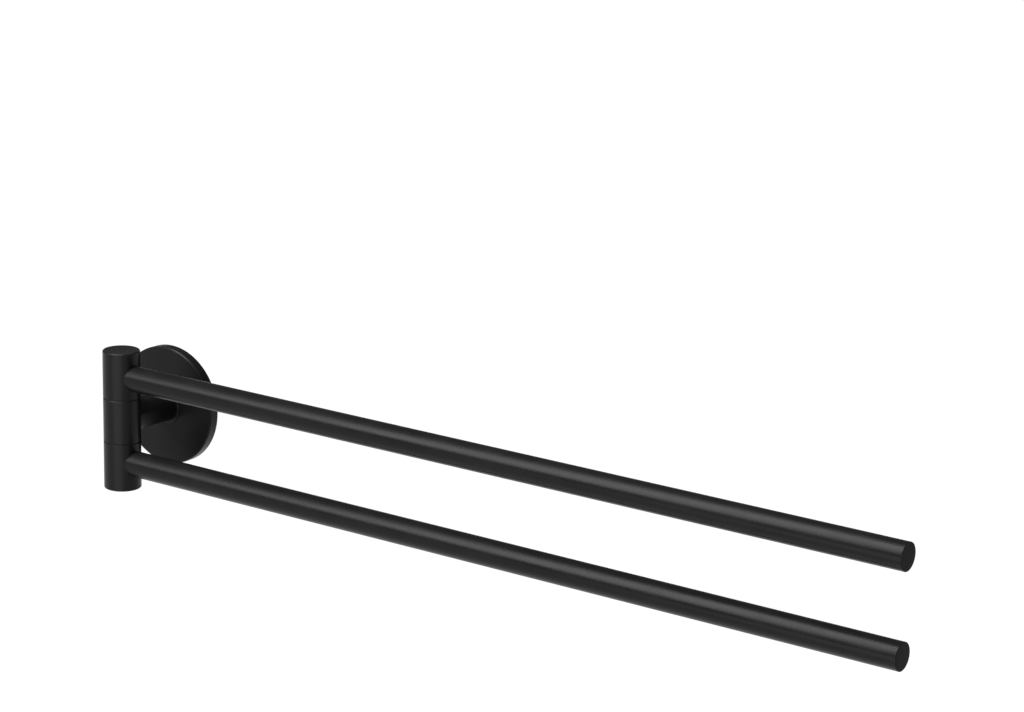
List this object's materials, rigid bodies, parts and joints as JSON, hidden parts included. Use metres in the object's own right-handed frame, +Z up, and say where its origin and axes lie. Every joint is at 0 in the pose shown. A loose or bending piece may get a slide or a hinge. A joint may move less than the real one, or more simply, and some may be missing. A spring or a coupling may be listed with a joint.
{
  "type": "swing arm towel bar",
  "caption": "Wall-mounted towel bar in matte black: a round cover plate and post carry an upright barrel, and straight round arms swing on it, each by itself.",
  "frame": {"origin": "centre of the flat back that lies on the wall, level with the middle of the barrel", "axes": "+Y into the wall, +Z up, +X along the wall the way the arms point in the picture; the pivot axis is upright at x 0, y -36 mm"},
  "size_m": [0.4542, 0.045, 0.0684],
  "materials": {
    "black_cover": "matt powder coat",
    "black_post": "matt powder coat",
    "black_barrel": "matt powder coat",
    "black_arm": "matt powder coat",
    "black_cap": "matt powder coat",
    "black_lid": "matt powder coat",
    "zinc_plate": "zinc plated, pressed",
    "bright_screw": "stainless",
    "black_screw": "black oxide",
    "ground_steel": "ground",
    "spring_steel": "blued",
    "black_nylon": "moulded",
    "white_bush": "turned"
  },
  "bodies": {
    "wall_mount": {"wall_plate": "zinc_plate", "cover_plate": "black_cover", "cover_grub_screw": "black_screw", "post": "black_post", "post_bolt": "bright_screw", "hub": "black_barrel", "spindle": "ground_steel", "upper_thrust_washer": "black_nylon", "lower_thrust_washer": "black_nylon", "upper_disc_spring": "spring_steel", "lower_disc_spring": "spring_steel", "upper_retaining_washer": "bright_screw", "lower_retaining_washer": "bright_screw", "upper_spindle_screw": "bright_screw", "lower_spindle_screw": "bright_screw"},
    "upper_swing_arm": {"upper_knuckle": "black_barrel", "upper_bush": "white_bush", "upper_arm": "black_arm", "upper_arm_cap": "black_cap", "upper_lid": "black_lid"},
    "lower_swing_arm": {"lower_knuckle": "black_barrel", "lower_bush": "white_bush", "lower_arm": "black_arm", "lower_arm_cap": "black_cap", "lower_lid": "black_lid"}
  },
  "joints": [
    {"name": "upper_arm_swing", "type": "hinge", "parent": "wall_mount", "child": "upper_swing_arm", "pos_m": [0, -0.036, 0.0212], "axis": [0, 0, -1], "range_deg": [-4, 184]},
    {"name": "lower_arm_swing", "type": "hinge", "parent": "wall_mount", "child": "lower_swing_arm", "pos_m": [0, -0.036, -0.0212], "axis": [0, 0, -1], "range_deg": [-4, 184]}
  ]
}
